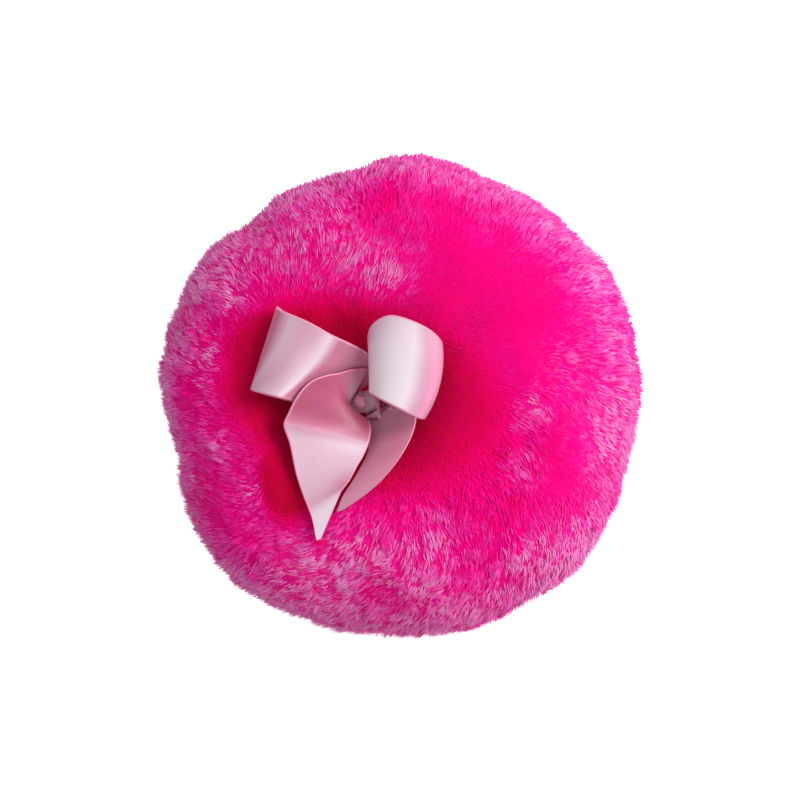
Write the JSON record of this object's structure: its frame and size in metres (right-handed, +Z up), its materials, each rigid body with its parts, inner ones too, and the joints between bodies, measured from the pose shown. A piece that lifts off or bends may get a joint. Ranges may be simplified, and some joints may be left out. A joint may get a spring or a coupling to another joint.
{
  "type": "powder puff",
  "caption": "Round plush powder puff, stuffed and seamed round the rim, with its middle drawn in by a tack thread that holds a satin ribbon bow.",
  "frame": {"origin": "on the surface that the puff rests on, under the middle of its rim", "axes": "+Z up out of the back, where the bow is; +Y towards the side that the standing loop points to; +X to the right of the bow"},
  "size_m": [0.0904, 0.0899, 0.0454],
  "materials": {
    "pile": "long soft plush pile",
    "backing": "woven backing cloth",
    "filling": "loose white fibre",
    "thread": "twisted sewing thread",
    "tack_cord": "stout twisted thread, dyed to match the ribbon",
    "ribbon": "double-faced satin"
  },
  "bodies": {
    "puff": {"padding": "filling", "back_cloth": "backing", "face_cloth": "backing", "back_pile": "pile", "face_pile": "pile", "seam_thread": "thread", "closing_thread": "thread", "tack_thread": "tack_cord"},
    "bow": {"bow_knot": "ribbon", "bow_left_loop": "ribbon", "bow_right_loop": "ribbon", "bow_left_tail": "ribbon", "bow_right_tail": "ribbon"}
  },
  "joints": [
    {"name": "bow_swivel", "type": "hinge", "parent": "puff", "child": "bow", "pos_m": [-0.0044, -0.0011, 0.0309], "axis": [0, 0, 1], "range_deg": [-20, 20]}
  ]
}
